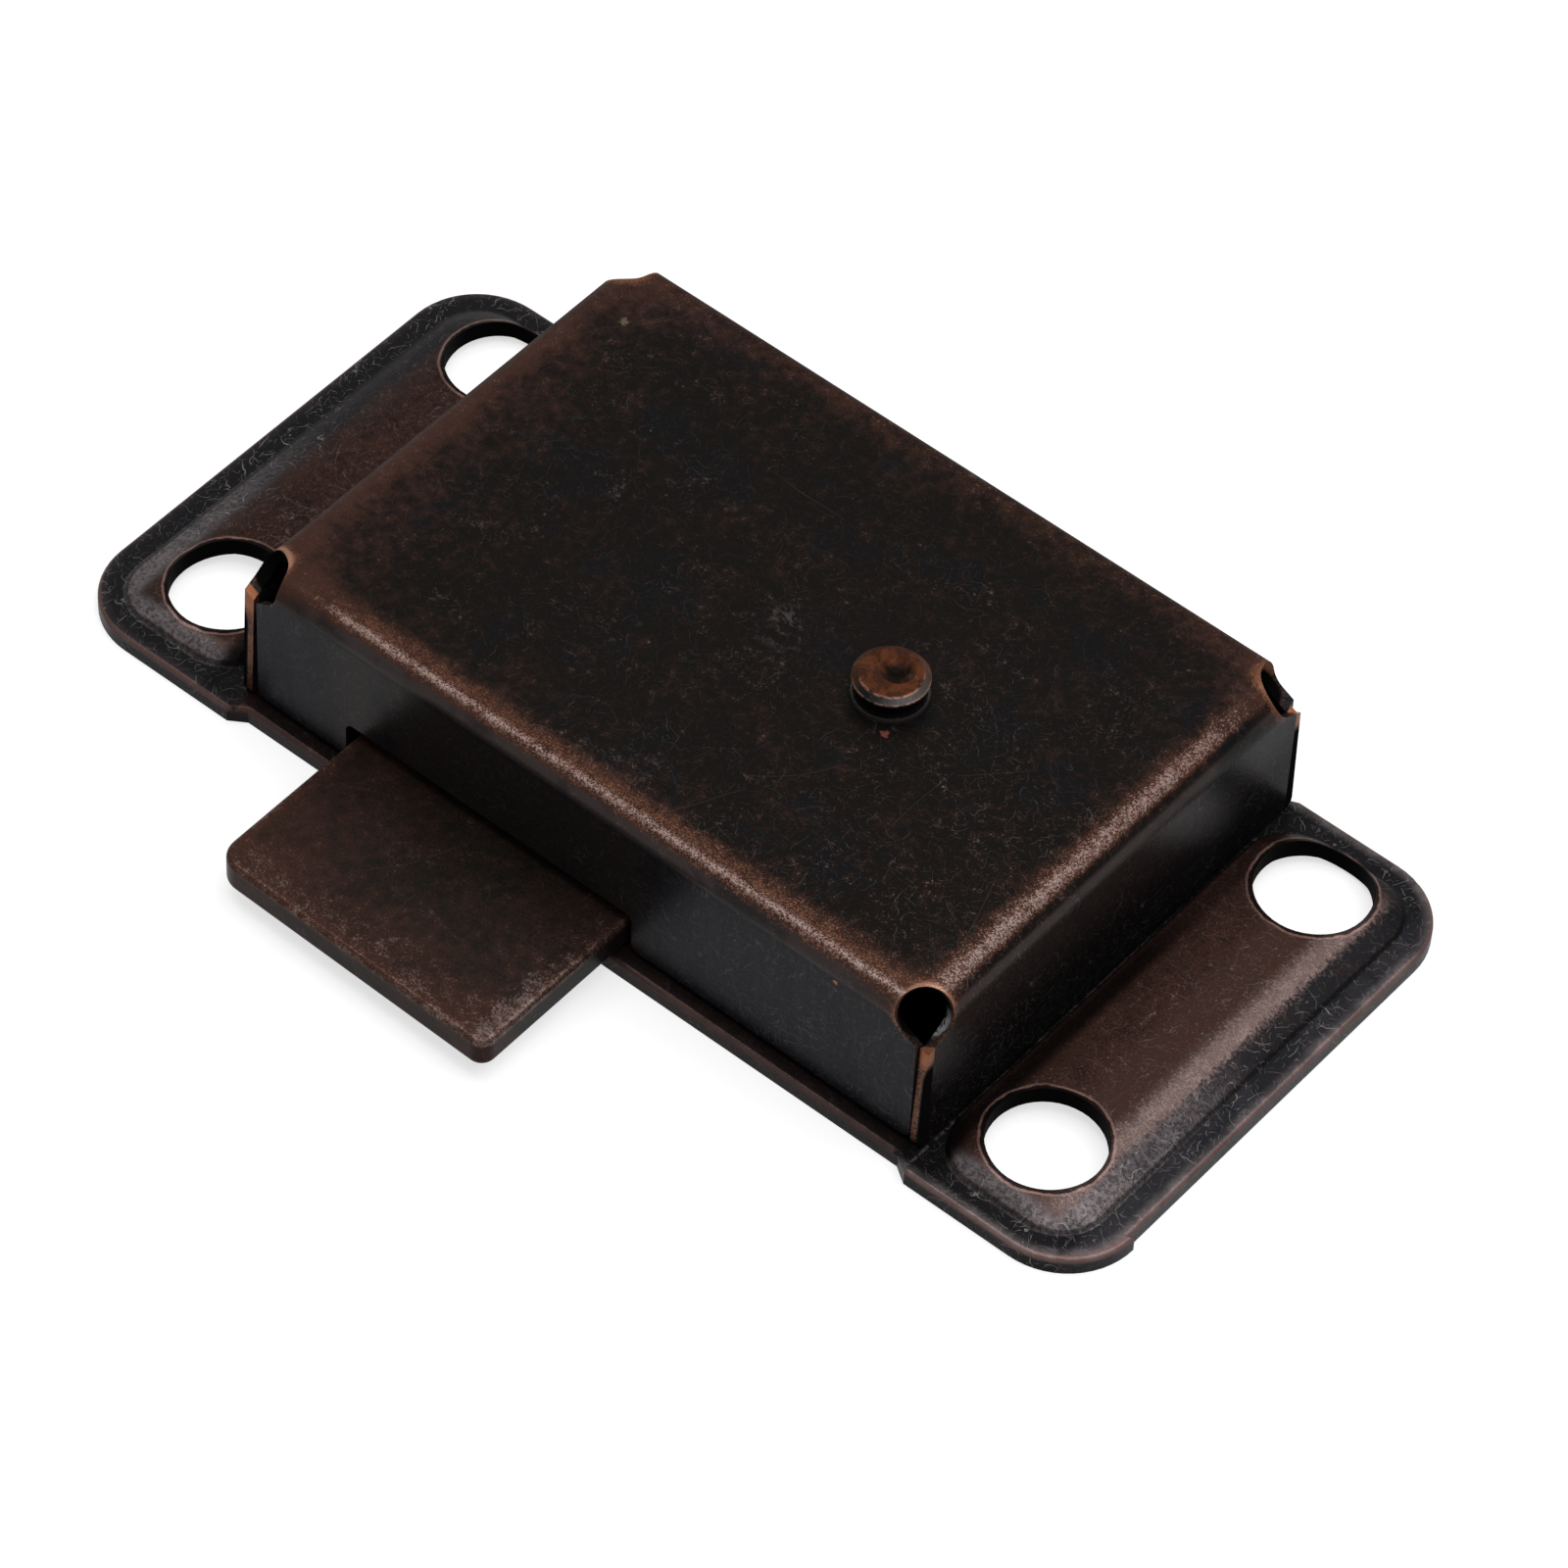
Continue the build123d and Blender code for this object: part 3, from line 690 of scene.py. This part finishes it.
def plate_distances(wiring, place):
    """Distances on the plate, in from its outline and its pads' feet, and out from its holes."""
    middle = (plate_low + plate_high) / 2
    half = (plate_high - plate_low) / 2
    pad_outer = plate_half_length - pad_end_rim
    pad_middle = Vector(((pad_inner + pad_outer) / 2, middle.y, 0))
    pad_half = Vector(((pad_outer - pad_inner) / 2, half.y - pad_side_rim, 0))
    spot = wiring.split(place)
    side = wiring.vector("ABSOLUTE", place)
    along = wiring.split(side)["X"]

    end_edge_gap = wiring.group(
        outline_gap,
        Place=place,
        Centre=(0, middle.y, 0),
        Half_size=(plate_half_length, half.y, 0),
        Corner=plate_corner_radius,
    )["Gap"]
    ledge = wiring.fade(along, none_at=waist_half_length + 0.4, full_at=waist_half_length - 0.4)
    ledge_gap = wiring.less(spot["Y"], plate_low.y + front_jog)
    beyond_ledge = wiring.times(wiring.without(ledge), 9.0)
    pad_gap = wiring.group(
        outline_gap,
        Place=wiring.joined(along, spot["Y"]),
        Centre=tuple(pad_middle),
        Half_size=tuple(pad_half),
        Corner=pad_foot_radius,
    )["Gap"]
    from_hole = wiring.vector("SUBTRACT", side, (screw_spacing[0] / 2, screw_spacing[1] / 2, 0))
    from_hole = wiring.vector("LENGTH", wiring.vector("MULTIPLY", from_hole, (1, 1, 0)))
    return SimpleNamespace(
        x=spot["X"],
        y=spot["Y"],
        height=spot["Z"],
        along=along,
        ledge=ledge,
        edge_gap=wiring.smaller(end_edge_gap, wiring.add(ledge_gap, beyond_ledge)),
        pad_gap=pad_gap,
        pad_end_gap=wiring.less(pad_outer, along),
        pad_side_gap=wiring.less(pad_half.y, wiring.away(spot["Y"], middle.y)),
        past_hole=wiring.less(from_hole, screw_hole_radius),
    )


def pad_masks(wiring, place, at):
    """The raised pads: brown crown with a painted highlight on the right crown and shoulder, scratched
    slope lit pale on the near side as painted highlight and kept darker on the far side as painted shade,
    and painted shade at the inner foot and in the crease.
    """
    fine = wiring.noise(place, scale=4.5, detail=3.0, roughness=0.75)["Fac"]
    ragged = wiring.times(wiring.less(fine, 0.5), 1.5)
    end_gap = wiring.add(at.pad_end_gap, ragged)
    side_gap = wiring.add(at.pad_side_gap, ragged)
    right = wiring.fade(at.x, none_at=0.0, full_at=5.0)
    whole = wiring.fade(at.pad_gap, none_at=-0.05, full_at=0.10)
    crown = wiring.times(
        wiring.smaller(
            wiring.fade(end_gap, none_at=1.2, full_at=2.0),
            wiring.fade(side_gap, none_at=0.7, full_at=1.6),
        ),
        wiring.fade(at.height, none_at=1.2, full_at=1.45),
    )
    slope = wiring.times(whole, wiring.without(crown))
    # Painted highlights on the right pad: faint on the crown, strong on the shoulder
    crown_highlight = wiring.times(wiring.fade(end_gap, none_at=5.8, full_at=4.6), crown, right)
    shoulder = wiring.times(
        whole,
        wiring.fade(end_gap, none_at=3.2, full_at=2.1),
        wiring.fade(end_gap, none_at=1.15, full_at=1.65),
        wiring.fade(side_gap, none_at=0.5, full_at=2.5),
        wiring.weighted(0.12, (right, 0.88)),
    )
    # Near slope: real scratches and a painted highlight together
    worn_lit_near_slope = wiring.times(
        slope,
        wiring.fade(at.y, none_at=2.0, full_at=-12.0),
        wiring.weighted(0.35, (wiring.fade(fine, none_at=0.40, full_at=0.60), 0.75)),
    )
    # Far slope keeps fewer scratches: painted shade
    shaded_far_slope = wiring.times(slope, wiring.fade(at.y, none_at=0.0, full_at=5.0))
    # Painted shade at the pad's inner foot, by the case wall
    shaded_inner_foot = wiring.times(
        wiring.fade(at.along, none_at=pad_inner + 1.75, full_at=pad_inner + 1.05),
        wiring.weighted(
            1.0, (wiring.fade(at.along, none_at=pad_inner + 0.7, full_at=pad_inner + 0.3), -0.35)
        ),
        wiring.weighted(0.9, (wiring.fade(at.y, none_at=1.0, full_at=6.0), -0.40)),
        wiring.fade(at.height, none_at=0.9, full_at=1.1),
    )
    foot_line = wiring.times(
        wiring.fade(wiring.away(at.x, pad_inner - 0.05), none_at=0.11, full_at=0.03),
        wiring.patches(place, none_at=0.44, full_at=0.62, scale=1.7, detail=3.0, roughness=0.8),
        wiring.fade(at.y, none_at=6.0, full_at=0.0),
    )
    # Painted shade in the crease at the pad's foot
    crease = wiring.times(
        wiring.fade(wiring.away(at.pad_gap, 0.16), none_at=0.17, full_at=0.05),
        wiring.fade(at.height, none_at=0.8, full_at=0.95),
    )
    return SimpleNamespace(
        whole=whole, crown=crown, slope=slope, crown_highlight=crown_highlight, shoulder=shoulder, worn_lit_near_slope=worn_lit_near_slope,
        shaded_far_slope=shaded_far_slope, shaded_inner_foot=shaded_inner_foot, foot_line=foot_line, crease=crease,
    )


def rim_masks(wiring, at, pad, haze):
    """The flat rim: worn along the outline, greyer at the right-hand end, copper on the edge."""
    right = wiring.fade(at.x, none_at=0.0, full_at=5.0)
    outer = wiring.times(
        wiring.fade(at.edge_gap, none_at=0.75, full_at=0.05),
        wiring.fade(at.height, none_at=0.7, full_at=0.95),
        haze,
        wiring.weighted(1.0, (at.ledge, -0.75)),
        wiring.weighted(0.15, (right, 0.85)),
    )
    right_end = wiring.times(
        wiring.without(pad.whole),
        wiring.fade(at.x, none_at=30.6, full_at=31.4),
        wiring.weighted(0.3, (haze, 0.7)),
    )
    edge = wiring.times(
        wiring.fade(at.edge_gap, none_at=0.24, full_at=0.12),
        wiring.fade(at.height, none_at=0.62, full_at=0.85),
        wiring.weighted(0.45, (at.ledge, -0.25)),
    )
    return SimpleNamespace(outer=outer, right_end=right_end, edge=edge)


def hole_masks(wiring, place, at):
    """The screw holes: painted shade on the lip and wall, with a thin painted highlight of copper round
    them.
    """
    ragged = wiring.unevenness(place, scale=0.8, detail=2.0, roughness=0.6)
    past = wiring.weighted(at.past_hole, (ragged, 0.30))
    # Painted shade on the lip, painted highlight in the ring outside it
    lip = wiring.fade(past, none_at=0.24, full_at=0.16)
    ring = wiring.times(
        wiring.fade(past, none_at=0.36, full_at=0.28), wiring.fade(past, none_at=0.16, full_at=0.24)
    )
    wall = wiring.fade(at.past_hole, none_at=0.05, full_at=0.01)
    return SimpleNamespace(lip=lip, ring=ring, wall=wall)


def plate_finish():
    """Brown on the raised pads, blue-black and scratched on the rim, copper at the edges, with painted
    highlights on the pads and painted shade in the holes, creases and at the pads' inner foot.
    """
    material, wiring, shader = new_finish("plate finish")
    place = wiring.place()
    at = plate_distances(wiring, place)
    haze = wiring.patches(place, none_at=0.35, full_at=0.65, scale=0.8, detail=3.0, roughness=0.7)
    haze = wiring.weighted(0.50, (haze, 0.50))
    pad = pad_masks(wiring, place, at)
    rim = rim_masks(wiring, at, pad, haze)
    hole = hole_masks(wiring, place, at)
    left = wiring.fade(at.x, none_at=0.0, full_at=-5.0)
    side_face = wiring.fade(at.height, none_at=0.80, full_at=0.65)

    ground = wiring.tint(RIM_PATINA, BLACK_PATINA, pad.crown)
    ground = wiring.tint(ground, GREY_RIM, rim.right_end)
    ground = wiring.tint(ground, WORN_RIM, rim.outer, strength=0.9)
    ground = wiring.tint(ground, WORN_AND_LIT_GREY, pad.worn_lit_near_slope)
    # Painted highlights on the pads
    ground = wiring.tint(ground, PAD_PAINTED_HIGHLIGHT, pad.crown_highlight, strength=0.22)
    ground = wiring.tint(ground, PAD_PAINTED_HIGHLIGHT, pad.shoulder, strength=0.72)
    brown = wiring.weighted(
        0.05,
        (pad.whole, 0.20),
        (pad.crown, 0.56),
        (pad.shoulder, -0.60),
        (pad.crown, left, -0.16),
        (at.ledge, 0.45),
        (side_face, -0.1),
    )
    scratches = wiring.weighted(0.85, (pad.slope, 0.15), (pad.crown, -0.55), (pad.shaded_far_slope, -0.70))
    marks = [
        Mark(EDGE_COPPER, rim.edge),
        # Painted shade at the pads' inner foot
        Mark(PAINTED_SHADE_BLACK, pad.shaded_inner_foot),
        Mark(WORN_RIM, pad.foot_line, strength=0.55),
        # Painted shade on the holes' lips and walls, painted highlight in the ring
        Mark(PAINTED_SHADE_BLACK, hole.lip, strength=0.8),
        Mark(HOLE_RIM_HIGHLIGHT, wiring.times(hole.ring, haze), strength=0.55),
        # Painted shade in the pads' creases
        Mark(PAINTED_SHADE_BLACK, pad.crease, strength=0.7),
        Mark(PAINTED_SHADE_BLACK, hole.wall),
    ]
    wire_copper(
        wiring, shader, place, marks,
        Ground=ground,
        Brown=brown,
        Patches=0.7,
        Wear=0.0,
        Crest=wiring.add(wiring.times(pad.shoulder, 0.50), wiring.times(pad.crown_highlight, 0.06)),
        Grain=wiring.weighted(0.40, (pad.crown, 0.50)),
        Scratches=wiring.times(scratches, wiring.weighted(1.0, (at.ledge, -0.8))),
        Dull=wiring.times(hole.wall, 0.9),
    )
    return material


def bolt_finish():
    """Brown-black, rubbed to brown along the edges of the tongue, with crests along the front and right
    edges that are partly wear and partly painted highlight.
    """
    material, wiring, shader = new_finish("bolt finish")
    place = wiring.place()
    gap = wiring.group(
        outline_gap,
        Place=place,
        Centre=tuple((bolt_low + bolt_high) / 2),
        Half_size=tuple((bolt_high - bolt_low) / 2),
        Corner=bolt_corner_radius,
    )["Gap"]
    spot = wiring.split(place)
    rim = wiring.fade(gap, none_at=1.1, full_at=0.2)
    left = wiring.fade(spot["X"], none_at=bolt_low.x + 9, full_at=bolt_low.x + 1)
    right = wiring.fade(spot["X"], none_at=bolt_high.x - 7, full_at=bolt_high.x - 1)
    front = wiring.fade(spot["Y"], none_at=bolt_low.y + 4.5, full_at=bolt_low.y + 0.5)
    flank = wiring.fade(spot["Z"], none_at=bolt_high.z - 0.25, full_at=bolt_high.z - 0.55)
    brown = wiring.weighted(
        0.46, (rim, 0.26), (left, 0.18), (right, 0.14), (front, 0.30), (flank, -0.55)
    )
    wear = wiring.times(rim, wiring.fade(flank, none_at=0.6, full_at=0.0), 0.34)
    # Edge crests: partly wear, partly painted highlight
    crest = wiring.larger(wiring.fade(gap, none_at=0.42, full_at=0.2), wiring.times(front, 0.75))
    crest = wiring.times(crest, wiring.fade(flank, none_at=0.5, full_at=0.0), 0.50)
    lit_front = wiring.fade(spot["Y"], none_at=bolt_low.y + 8.5, full_at=bolt_low.y + 1.5)
    # Right edge, stronger towards the front: partly wear, partly painted highlight
    right_edge_wear_and_highlight = wiring.times(
        wiring.fade(spot["X"], none_at=bolt_high.x - 2.4, full_at=bolt_high.x - 0.45),
        wiring.weighted(0.45, (lit_front, 0.55)),
        wiring.fade(flank, none_at=0.9, full_at=0.4),
        0.66,
    )
    wire_copper(
        wiring, shader, place,
        Ground=BOLT_PATINA,
        Brown=brown,
        Patches=0.7,
        Wear=wear,
        Crest=wiring.larger(crest, right_edge_wear_and_highlight),
        Grain=0.55,
        Scratches=0.07,
        Dull=0.1,
    )
    return material


def pin_finish():
    """Red-brown on the riveted head, with painted shade in the dimple and under the head, and a painted
    highlight on the front of the bevel.
    """
    material, wiring, shader = new_finish("pin finish")
    place = wiring.place()
    centre = (pin_low + pin_high) / 2
    bevel_radius = rivet_head_radius - rivet_bevel
    spot = wiring.split(place)
    plan = wiring.vector("MULTIPLY", place, (1, 1, 0))
    radius = wiring.vector("DISTANCE", plan, (centre.x, centre.y, 0))
    rise = wiring.less(spot["Z"], case_high.z)
    head = wiring.fade(rise, none_at=rivet_neck_height - 0.05, full_at=rivet_neck_height + 0.1)
    # Painted shade under the rivet head
    neck = wiring.times(
        wiring.without(head),
        wiring.fade(rise, none_at=rivet_seat_height, full_at=rivet_seat_height + 0.1),
    )
    # A lighter grey line on the seat's edge: painted highlight
    seat_edge = wiring.times(
        wiring.fade(rise, none_at=rivet_seat_height + 0.08, full_at=rivet_seat_height),
        wiring.fade(radius, none_at=rivet_seat_radius - 0.15, full_at=rivet_seat_radius - 0.09),
    )

    # Painted shade in the dimple
    dimple_centre = (centre.x + rivet_dimple_offset[0], centre.y + rivet_dimple_offset[1], 0)
    dimple_ragged = wiring.unevenness(place, scale=1.6, detail=3.0, roughness=0.7)
    from_dimple = wiring.weighted(wiring.vector("DISTANCE", plan, dimple_centre), (dimple_ragged, 0.7))
    dimple = wiring.fade(from_dimple, none_at=rivet_dimple_radius, full_at=rivet_dimple_radius * 0.4)
    dimple = wiring.times(dimple, head)

    # Painted highlight towards the front and right of the bevel
    lit_front = wiring.less(wiring.less(spot["X"], spot["Y"]), centre.x - centre.y)
    lit_front = wiring.fade(lit_front, none_at=-0.6, full_at=1.6)
    lit_right = wiring.fade(spot["X"], none_at=centre.x, full_at=centre.x + 1.8)
    bevel = wiring.times(
        wiring.fade(radius, none_at=bevel_radius - 0.05, full_at=bevel_radius + 0.1), head
    )
    bevel_top = wiring.fade(wiring.away(radius, bevel_radius), none_at=0.09, full_at=0.02)
    bevel_foot = wiring.fade(radius, none_at=rivet_head_radius - 0.08, full_at=rivet_head_radius - 0.01)
    stain = wiring.patches(
        place, none_at=0.40, full_at=0.62, scale=0.9, detail=3.0, roughness=0.7, distortion=1.0
    )
    # Painted highlight lines along the front of the bevel
    bevel_highlight = wiring.times(
        wiring.larger(bevel_top, bevel_foot), head, lit_front, wiring.fade(stain, none_at=1.0, full_at=0.3)
    )

    ground = wiring.tint(BLACK_PATINA, wiring.tint(RIVET_COPPER, RIVET_SHADE, stain), head)
    bevel_ground = wiring.tint(RIVET_BEVEL_SHADE, RIVET_BEVEL_LIT, lit_right)
    ground = wiring.tint(ground, bevel_ground, wiring.times(bevel, wiring.weighted(0.20, (lit_front, 0.80))))
    marks = [
        Mark(PINK_COPPER_HIGHLIGHT, bevel_highlight, strength=0.45),
        Mark(PAINTED_SHADE_BLACK, dimple, strength=0.95),
        Mark(PAINTED_SHADE_BLACK, neck, strength=0.8),
        Mark(WORN_AND_LIT_GREY, seat_edge, strength=0.35),
    ]
    wire_copper(
        wiring, shader, place, marks,
        Ground=ground,
        Brown=wiring.times(bevel, 0.1),
        Patches=0.3,
        Wear=0.0,
        Crest=wiring.times(bevel, 0.10),
        Grain=0.40,
        Scratches=0.15,
        Dull=0.0,
    )
    return material


def steel_finish():
    """Bare steel of the hidden pieces, dull, with fine marks from the tool."""
    material, wiring, shader = new_finish("bare steel")
    place = wiring.place()
    lines = wiring.group(hairlines, Place=place, Spacing=0.9, Width=0.04, Share=0.7, Curl=0.5)["Mask"]
    cloud = wiring.patches(place, none_at=0.35, full_at=0.7, scale=0.8, detail=3.0, roughness=0.6)
    grain = wiring.noise(place, scale=9.0, detail=2.0, roughness=0.6)["Fac"]
    colour = wiring.tint(DARK_STEEL, LIGHT_STEEL, cloud)
    colour = wiring.tint(colour, SCRATCHED_STEEL, lines, strength=0.5)
    wiring.feed(shader.inputs["Base Color"], colour)
    wiring.feed(shader.inputs["Roughness"], wiring.weighted(0.22, (grain, 0.3)))
    shader.inputs["Metallic"].default_value = 1.0
    wire_bump(wiring, shader, wiring.weighted(grain, (lines, -0.5)), steel_bump)
    return material


finishes = {
    "back_plate": plate_finish(),
    "case": case_finish(),
    "bolt": bolt_finish(),
    "drill_pin": pin_finish(),
}
bare_steel = steel_finish()
for name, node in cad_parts.items():
    node.data.materials.clear()
    node.data.materials.append(finishes.get(name, bare_steel))


# Floor, lamps and camera
def set_camera():
    bpy.ops.object.camera_add()
    camera = bpy.context.object
    back = Vector((
        math.sin(camera_azimuth) * math.cos(camera_elevation),
        -math.cos(camera_azimuth) * math.cos(camera_elevation),
        math.sin(camera_elevation),
    ))
    camera.rotation_mode = "QUATERNION"
    camera.location = camera_aim + back * camera_distance
    level = (-back).to_track_quat("-Z", "Y")
    camera.rotation_quaternion = level @ Matrix.Rotation(camera_roll, 3, "Z").to_quaternion()
    camera.data.lens = camera_lens
    camera.data.sensor_width = camera_sensor
    camera.data.clip_start, camera.data.clip_end = camera_clip
    bpy.context.scene.camera = camera


def add_soft_light(name, heading, width, brightness):
    """A round lamp in the given direction, facing the lock."""
    bpy.ops.object.light_add(type="AREA")
    lamp = bpy.context.object
    lamp.name = name
    lamp.data.shape = "DISK"
    lamp.data.size = width
    lamp.data.energy = brightness * math.pi * math.pi * (width / 2) ** 2
    heading = Vector(heading).normalized()
    lamp.rotation_mode = "QUATERNION"
    lamp.location = heading * lamp_distance
    lamp.rotation_quaternion = (-heading).to_track_quat("-Z", "Y")


def seen_as_background(wiring):
    """1 for rays that look at the background, straight or in gloss or glass."""
    rays = wiring.node("ShaderNodeLightPath").outputs
    seen = wiring.larger(rays["Is Camera Ray"], rays["Is Glossy Ray"])
    return wiring.larger(seen, rays["Is Transmission Ray"])


def add_floor():
    bpy.ops.mesh.primitive_plane_add(size=floor_size)
    floor = bpy.context.object
    floor.name = "floor"
    material, wiring, shader = new_finish("pale floor")
    shader.inputs["Base Color"].default_value = FLOOR_GREY
    shader.inputs["Roughness"].default_value = 1.0
    shader.inputs["Specular IOR Level"].default_value = 0.0
    shader.inputs["Emission Color"].default_value = WHITE
    whitening = wiring.times(seen_as_background(wiring), floor_whitening)
    wiring.feed(shader.inputs["Emission Strength"], whitening)
    floor.data.materials.append(material)


def light_world():
    world = bpy.data.worlds.new("studio")
    bpy.context.scene.world = world
    world.use_nodes = True
    wiring = Wiring(world.node_tree)
    background = world.node_tree.nodes["Background"]
    background.inputs["Color"].default_value = WHITE
    strength = wiring.weighted(surrounding_light, (seen_as_background(wiring), surrounding_whitening))
    wiring.feed(background.inputs["Strength"], strength)


bpy.ops.object.select_all(action="DESELECT")
add_floor()
light_world()
add_soft_light("light above", **lamp_above)
add_soft_light("light on the left", **lamp_on_left)
set_camera()
bpy.context.scene.view_settings.view_transform = "Standard"
